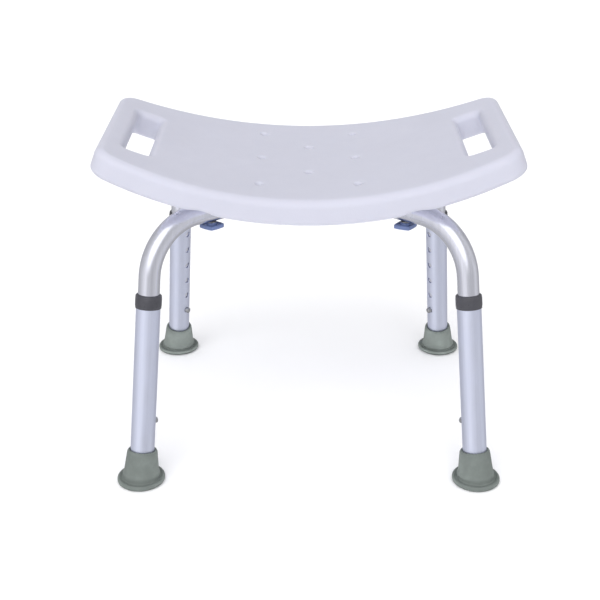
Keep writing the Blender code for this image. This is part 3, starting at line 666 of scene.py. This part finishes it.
def make_knob_mesh():
    """Rings from the neck, over the recessed top and the rim, to the pocket and the bore."""
    top, bottom = -KNOB_NECK, -KNOB_NECK - KNOB_THICKNESS
    bore, socket = SCREW_RADIUS + GAP, SCREW_HEAD_RADIUS + GAP
    socket_top = bottom + GAP + SCREW_HEAD_HEIGHT + GAP
    neck = [(KNOB_NECK_RADIUS - 0.0005, 0), (KNOB_NECK_RADIUS, -0.0004)]
    neck += [(KNOB_NECK_RADIUS, top + 0.0003), (KNOB_NECK_RADIUS + 0.0004, top - 0.0012)]
    outline = [(0.0034, top - 0.0016), (0.0026, top - 0.0013), (0.0020, top - 0.0003)]
    outline += [(0.0013, top), (0.0008, top - 0.0001), (0.0003, top - 0.0004), (0.0, top - 0.0010)]
    outline += [(0.0002, (top + bottom) / 2), (0.0, bottom + 0.0010), (0.0003, bottom + 0.0004)]
    outline += [(0.0008, bottom + 0.0001), (0.0013, bottom)]
    rings = [circle(bore + 0.0002, 0)]
    rings += [circle(radius, height) for radius, height in neck]
    rings += [lozenge(inset, height) for inset, height in outline]
    rings += [hexagon(socket + 0.0003, bottom), hexagon(socket, bottom + 0.0004)]
    rings += [hexagon(socket, socket_top), circle(bore, socket_top), circle(bore, -0.0003)]
    return loft(rings, closed=True)


def thread_ring(height):
    """One ring of a thread whose depth swings once round the screw and once in each pitch."""
    points = []
    for i, angle in enumerate(angles_round(SCREW_SIDES)):
        turn = (i / SCREW_SIDES + height / THREAD_PITCH) % 1
        radius = SCREW_RADIUS - 0.0001 - THREAD_DEPTH * abs(2 * turn - 1)
        points.append(Vector((radius * math.cos(angle), radius * math.sin(angle), height)))
    return points


def make_screw_mesh():
    """A hexagon-head screw whose thread is a real helix."""
    bottom = -KNOB_NECK - KNOB_THICKNESS + GAP
    head_top, end = bottom + SCREW_HEAD_HEIGHT, SCREW_TOP - NECK_TOP
    rings = [circle(0.0020, bottom + 0.0008, SCREW_SIDES), circle(0.0026, bottom, SCREW_SIDES)]
    rings.append(circle(SCREW_HEAD_RADIUS * 0.80, bottom, SCREW_SIDES))
    rings.append(hexagon(SCREW_HEAD_RADIUS, bottom + 0.0005, SCREW_SIDES))
    rings.append(hexagon(SCREW_HEAD_RADIUS, head_top, SCREW_SIDES))
    height = head_top + 0.006
    shank = [(0.0002, head_top), (0, head_top + 0.0003), (0, height - 0.0004)]
    rings += [circle(SCREW_RADIUS + more, at, SCREW_SIDES) for more, at in shank]
    while height < end - 0.0008:
        rings.append(thread_ring(height))
        height += THREAD_PITCH / THREAD_STEPS
    rings.append(circle(SCREW_RADIUS - 0.0006, end - 0.0006, SCREW_SIDES))
    rings.append(circle(SCREW_RADIUS - 0.0011, end, SCREW_SIDES))
    return loft(rings, smooth_angle=30)


def make_washer_mesh():
    hole = SCREW_RADIUS + GAP
    profile = [(hole, 0), (WASHER_RADIUS, 0)]
    profile += [(WASHER_RADIUS, WASHER_THICKNESS), (hole, WASHER_THICKNESS)]
    return turned(softened(profile, closed=True, radius=0.0002), closed=True)


# Materials


class Nodes:
    """A Principled material that is built up node by node."""

    def __init__(self, name):
        self.material = bpy.data.materials.new(name)
        self.material.use_nodes = True
        self.tree = self.material.node_tree
        self.shader = self.tree.nodes["Principled BSDF"]
        self.place = self.add("ShaderNodeTexCoord").outputs["Object"]

    def add(self, kind):
        return self.tree.nodes.new(kind)

    def link(self, source, target):
        self.tree.links.new(source, target)

    def noise(self, scale, detail, stretch=(1, 1, 1)):
        mapping = self.add("ShaderNodeMapping")
        mapping.inputs["Scale"].default_value = stretch
        self.link(self.place, mapping.inputs["Vector"])
        noise = self.add("ShaderNodeTexNoise")
        noise.inputs["Scale"].default_value = scale
        noise.inputs["Detail"].default_value = detail
        noise.inputs["Roughness"].default_value = 0.55
        self.link(mapping.outputs["Vector"], noise.inputs["Vector"])
        return noise.outputs["Fac"]

    def spread(self, source, low, high):
        """Maps the middle of a noise's range to low and high."""
        node = self.add("ShaderNodeMapRange")
        node.inputs["From Min"].default_value = 0.3
        node.inputs["From Max"].default_value = 0.7
        node.inputs["To Min"].default_value = low
        node.inputs["To Max"].default_value = high
        self.link(source, node.inputs["Value"])
        return node.outputs["Result"]

    def blend(self, source, colours):
        """Runs through stops (place, colour)."""
        ramp = self.add("ShaderNodeValToRGB")
        elements = ramp.color_ramp.elements
        for i, (place, colour) in enumerate(colours):
            element = elements[i] if i < 2 else elements.new(place)
            element.position = place
            element.color = (*colour, 1)
        self.link(source, ramp.inputs["Fac"])
        return ramp.outputs["Color"]

    def bump(self, layers):
        """Bump layers (source, distance in metres), one on top of the other."""
        normal = None
        for source, distance in layers:
            node = self.add("ShaderNodeBump")
            node.inputs["Strength"].default_value = 1.0
            node.inputs["Distance"].default_value = distance
            self.link(source, node.inputs["Height"])
            if normal:
                self.link(normal, node.inputs["Normal"])
            normal = node.outputs["Normal"]
        self.link(normal, self.shader.inputs["Normal"])

    def set(self, **values):
        """Gives the shader's inputs a value or links them to a socket."""
        for key, value in values.items():
            target = self.shader.inputs[key.replace("_", " ").title().replace("Ior", "IOR")]
            if isinstance(value, bpy.types.NodeSocket):
                self.link(value, target)
            else:
                target.default_value = value


def shades(base, *stops):
    """Stops (place, factor) of the base colour, for Nodes.blend."""
    return [(place, tuple(min(1.0, c * factor) for c in base)) for place, factor in stops]


def hdpe_material():
    """Blow-moulded polyethylene: a faint orange peel, some light inside, an uneven gloss."""
    n = Nodes("white_hdpe_satin")
    base = (0.520, 0.525, 0.603)
    n.set(base_color=n.blend(n.noise(9, 3), shades(base, (0.3, 0.982), (0.7, 1.014))))
    n.set(roughness=n.spread(n.noise(38, 5), 0.40, 0.52))
    n.set(subsurface_weight=0.35, subsurface_scale=0.006)
    n.shader.inputs["Subsurface Radius"].default_value = (1.0, 0.9, 0.85)
    n.bump([(n.noise(1500, 2), 0.00006), (n.noise(240, 3), 0.00010)])
    return n.material


def metal_material(name, base, roughness, streak, grain):
    """Drawn aluminium: fine lines along the tube, soft patches and a very fine grain."""
    n = Nodes(name)
    lines = n.noise(520, 4, stretch=(1, 1, 0.02))
    patches = n.noise(26, 4)
    n.set(base_color=n.blend(lines, shades(base, (0.3, 1 - streak), (0.7, 1 + streak * 0.6))))
    n.set(roughness=n.spread(patches, roughness * 0.86, roughness * 1.16), metallic=1.0)
    n.bump([(lines, 0.000012 * grain), (n.noise(2600, 2), 0.000006 * grain)])
    return n.material


def rubber_material():
    """Moulded rubber: mottled grey-green with a fine grain and paler rubbed patches."""
    n = Nodes("grey_rubber_moulded")
    base = (0.150, 0.171, 0.160)
    n.set(base_color=n.blend(n.noise(70, 6), shades(base, (0.25, 0.86), (0.55, 1.0), (0.8, 1.22))))
    n.set(roughness=n.spread(n.noise(160, 4), 0.62, 0.82), specular_ior_level=0.35)
    n.bump([(n.noise(1800, 3), 0.00010), (n.noise(300, 3), 0.00012)])
    return n.material


def plastic_material(name, base, roughness, fine):
    """Injection-moulded plastic with a light spark-eroded grain and slightly uneven colour."""
    n = Nodes(name)
    n.set(base_color=n.blend(n.noise(60, 5), shades(base, (0.3, 0.86), (0.7, 1.18))))
    n.set(roughness=n.spread(n.noise(220, 5), roughness * 0.8, roughness * 1.25))
    n.bump([(n.noise(2200, 2), 0.00004 * fine), (n.noise(330, 3), 0.00005 * fine)])
    return n.material


def make_materials():
    """The materials by slot. Each metal has a colour, roughness, streak and grain."""
    return {
        "white_hdpe": hdpe_material(),
        "polished_aluminium": metal_material("polished_tube", (0.79, 0.80, 0.88), 0.25, 0.06, 1.0),
        "anodised_aluminium": metal_material("anodised_tube", (0.80, 0.835, 0.985), 0.50, 0.04, 1.5),
        "dark_plastic": plastic_material("collar_plastic", (0.050, 0.050, 0.060), 0.33, 1.0),
        "grey_rubber": rubber_material(),
        "blue_plastic": plastic_material("knob_plastic", (0.125, 0.170, 0.33), 0.38, 0.8),
        "zinc_steel": metal_material("zinc_plated_steel", (0.42, 0.425, 0.44), 0.30, 0.10, 2.0),
        "brass": metal_material("turned_brass", (0.72, 0.56, 0.30), 0.28, 0.08, 2.0),
    }


# Assembly


def make_seat(materials):
    place("seat", make_seat_mesh(), Matrix(), materials, "white_hdpe", "root", "seat_panel")


def make_legs(materials):
    """Everything that each leg has in its corner, apart from the nodes that stay as packed."""
    lower, collar, plug = make_lower_mesh(), make_collar_mesh(), make_plug_mesh()
    button, knob, screw = make_button_mesh(), make_knob_mesh(), make_screw_mesh()
    washer = make_washer_mesh()
    end, angle = arm_station(ARM_LENGTH)
    out = Vector((math.sin(angle), 0, math.cos(angle)))
    plug_place = axes_matrix(end, Vector((math.cos(angle), 0, -math.sin(angle))), out)
    for corner in CORNERS:
        leg = leg_matrix(corner)
        centre = arm_point(corner, KNOB_ALONG_ARM)
        turn = Matrix.Rotation(math.radians(KNOB_TURNS[corner]), 4, "Z")
        knob_place = Matrix.Translation((centre.x, centre.y, NECK_TOP)) @ turn
        washer_place = Matrix.Translation((centre.x, centre.y, WASHER_BOTTOM))
        upper, foot = make_upper_mesh(corner), make_foot_mesh(corner)
        rows = [
            ("upper_tube", upper, leg, "polished_aluminium", "root", "upper_leg"),
            ("arm_plug", plug, leg @ plug_place, "dark_plastic", "root", "tube_end_plug"),
            ("lower_tube", lower, leg, "anodised_aluminium", "extension", "leg_extension"),
            ("collar", collar, leg, "dark_plastic", "extension", "leg_collar"),
            ("foot", foot, leg, "grey_rubber", "extension", "rubber_foot"),
            ("button", button, leg @ BUTTON_PLACE, "zinc_steel", "button", "snap_button"),
            ("thumb_knob", knob, knob_place, "blue_plastic", "thumb_screw", "knob"),
            ("thumb_screw", screw, knob_place, "zinc_steel", "thumb_screw", "knob_screw"),
            ("thumb_washer", washer, washer_place, "zinc_steel", "washer", "knob_washer"),
        ]
        for name, mesh, matrix, slot, body, node in rows:
            body = body if body == "root" else f"{body}_{corner}"
            place(f"{name}_{corner}", mesh, matrix, materials, slot, body, f"{node}_{corner}")


def make_springs(materials):
    """The packed springs, whose far arm lies on the tube's wall, as zinc steel copies in place of their
    nodes.
    """
    for corner in CORNERS:
        node = f"button_spring_{corner}"
        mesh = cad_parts[node].data.copy()
        cover(mesh, materials["zinc_steel"])
        spring = add_object(f"spring_{corner}", mesh)
        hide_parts(node)
        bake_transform(spring)


def finish_kept_nodes(materials):
    """The hidden nodes that stay as packed get finished materials too."""
    for start, slot in (("foot_washer", "zinc_steel"), ("seat_insert", "brass")):
        for corner in CORNERS:
            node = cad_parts[f"{start}_{corner}"]
            cover(node.data, materials[slot])


# Stage, light and camera

# What the metal mirrors: (bearing, brightness), 0 degrees towards the camera, positive to its right
BANDS = [(-180, 0.54), (-125, 0.50), (-85, 0.64), (-42, 0.98), (0, 0.58), (35, 0.56)]
BANDS += [(80, 0.72), (125, 0.46)]
SOFTBOX_DIRECTION, SOFTBOX_COLOUR = (-0.15, -0.75, 0.62), (1.5, 1.5, 1.52, 1)
SOFTBOX_STOPS = [(0.0, 0.0), (0.80, 0.0), (0.93, 1.0)]  # by the cosine of the angle from its middle
AMBIENT_COLOUR, AMBIENT = (0.80, 0.80, 0.815, 1), 0.95
WHITE = (1, 1, 1, 1)
FLOOR_HEIGHT, FLOOR_RADIUS = -0.0002, 30
CAMERA_PLACE = (-0.002, -1.4491, 0.8152)
CAMERA_YAW, CAMERA_PITCH, CAMERA_ROLL = -0.0061, -0.4264, -0.002  # radians
CAMERA_LENS, SENSOR_WIDTH = 74.196, 36  # millimetres


def make_floor():
    """A plain floor. It stays under the lowest foot when a leg is pulled out."""
    n = Nodes("pale_floor")
    n.set(base_color=n.blend(n.noise(3, 4), [(0.3, (0.955, 0.955, 0.958)), (0.7, (0.975, 0.975, 0.978))]))
    n.set(roughness=n.spread(n.noise(60, 4), 0.55, 0.7))
    rim = [tuple(point) for point in circle(FLOOR_RADIUS, 0, FLOOR_SIDES)]
    mesh = mesh_from(rim, [tuple(range(FLOOR_SIDES))])
    cover(mesh, n.material)
    floor = add_object("floor", mesh)
    floor.location = (0, 0, FLOOR_HEIGHT)
    floor.visible_glossy = False
    bpy.context.view_layer.update()
    for corner in CORNERS:
        foot = bpy.data.objects[f"foot_{corner}"]
        stop = floor.constraints.new("FLOOR")
        stop.target = foot
        stop.floor_location = "FLOOR_NEGATIVE_Z"
        stop.offset = FLOOR_HEIGHT - foot.matrix_world.translation.z


class World:
    """The nodes of the world's background."""

    def __init__(self, name):
        world = bpy.data.worlds.new(name)
        bpy.context.scene.world = world
        world.use_nodes = True
        self.tree = world.node_tree
        self.tree.nodes.clear()
        self.rays = self.add("ShaderNodeLightPath").outputs
        self.place = self.add("ShaderNodeTexCoord").outputs["Generated"]

    def add(self, kind):
        return self.tree.nodes.new(kind)

    def feed(self, slot, value):
        """Links the slot to a socket or gives it a value."""
        if isinstance(value, bpy.types.NodeSocket):
            self.tree.links.new(value, slot)
        else:
            slot.default_value = value

    def math(self, operation, *values):
        node = self.add("ShaderNodeMath")
        node.operation = operation
        for slot, value in zip(node.inputs, values):
            self.feed(slot, value)
        return node.outputs["Value"]

    def ramp(self, source, stops):
        """A soft run through stops (place, brightness), a trace bluer than grey."""
        ramp = self.add("ShaderNodeValToRGB")
        ramp.color_ramp.interpolation = "EASE"
        elements = ramp.color_ramp.elements
        for i, (at, value) in enumerate(stops):
            element = elements[i] if i < 2 else elements.new(at)
            element.position = at
            element.color = (value, value, value * 1.02, 1)
        self.feed(ramp.inputs["Fac"], source)
        return ramp.outputs["Color"]

    def background(self, colour, strength=1.0):
        node = self.add("ShaderNodeBackground")
        self.feed(node.inputs["Color"], colour)
        node.inputs["Strength"].default_value = strength
        return node.outputs["Background"]

    def choose(self, condition, otherwise, chosen):
        node = self.add("ShaderNodeMixShader")
        for slot, value in zip(node.inputs, (condition, otherwise, chosen)):
            self.feed(slot, value)
        return node.outputs["Shader"]


def make_world():
    """White for the camera, even for light on matt surfaces, banded for what the metal mirrors."""
    w = World("studio")
    split = w.add("ShaderNodeSeparateXYZ")
    w.feed(split.inputs["Vector"], w.place)
    towards_camera = w.math("MULTIPLY", split.outputs["Y"], -1.0)
    bearing = w.math("ARCTAN2", split.outputs["X"], towards_camera)
    turn = w.math("MULTIPLY_ADD", bearing, 0.5 / math.pi, 0.5)
    bands = w.ramp(turn, [(at / 360 + 0.5, value) for at, value in BANDS])
    softbox = w.add("ShaderNodeVectorMath")
    softbox.operation = "DOT_PRODUCT"
    w.feed(softbox.inputs[0], w.place)
    w.feed(softbox.inputs[1], Vector(SOFTBOX_DIRECTION).normalized())
    mirrored = w.add("ShaderNodeMix")
    mirrored.data_type = "RGBA"
    w.feed(mirrored.inputs["Factor"], w.ramp(softbox.outputs["Value"], SOFTBOX_STOPS))
    w.feed(mirrored.inputs["A"], bands)
    w.feed(mirrored.inputs["B"], SOFTBOX_COLOUR)
    ambient = w.background(AMBIENT_COLOUR, AMBIENT)
    lighting = w.choose(w.rays["Is Glossy Ray"], ambient, w.background(mirrored.outputs["Result"]))
    seen = w.choose(w.rays["Is Camera Ray"], lighting, w.background(WHITE))
    w.feed(w.add("ShaderNodeOutputWorld").inputs["Surface"], seen)


def sun_light(name, direction, angle, strength):
    """A broad sun, angle degrees across, that the metal doesn't mirror."""
    data = bpy.data.lights.new(name, "SUN")
    data.angle = math.radians(angle)
    data.energy = strength
    light = add_object(name, data)
    light.rotation_mode = "QUATERNION"
    light.rotation_quaternion = Vector(direction).to_track_quat("-Z", "Y")
    light.visible_glossy = False


def floor_glow(width, depth, power):
    """The light that a white floor throws back under the seat."""
    data = bpy.data.lights.new("floor_glow", "AREA")
    data.shape = "RECTANGLE"
    data.size, data.size_y = width, depth
    data.energy = power
    light = add_object("floor_glow", data)
    light.rotation_euler = (math.pi, 0, 0)
    light.location = (0, 0, 0.003)
    light.visible_camera = False
    light.visible_glossy = False


def make_lights():
    sun_light("wide_key", (0.2, 1.0, -0.75), 70, 1.9)
    sun_light("overhead_fill", (-0.1, -0.2, -1.0), 110, 0.45)
    floor_glow(0.5, 0.4, 0.9)


def make_camera():
    data = bpy.data.cameras.new("camera")
    data.sensor_width = SENSOR_WIDTH
    data.lens = CAMERA_LENS
    camera = add_object("camera", data)
    level = math.cos(CAMERA_PITCH)
    forward = Vector((math.sin(CAMERA_YAW) * level, math.cos(CAMERA_YAW) * level, math.sin(CAMERA_PITCH)))
    straight = forward.to_track_quat("-Z", "Y")
    camera.rotation_mode = "QUATERNION"
    camera.rotation_quaternion = straight @ Matrix.Rotation(CAMERA_ROLL, 3, "Z").to_quaternion()
    camera.location = CAMERA_PLACE
    bpy.context.scene.camera = camera


materials = make_materials()
make_seat(materials)
make_legs(materials)
make_springs(materials)
finish_kept_nodes(materials)
make_floor()
make_world()
make_lights()
make_camera()
bpy.context.scene.view_settings.view_transform = "Standard"
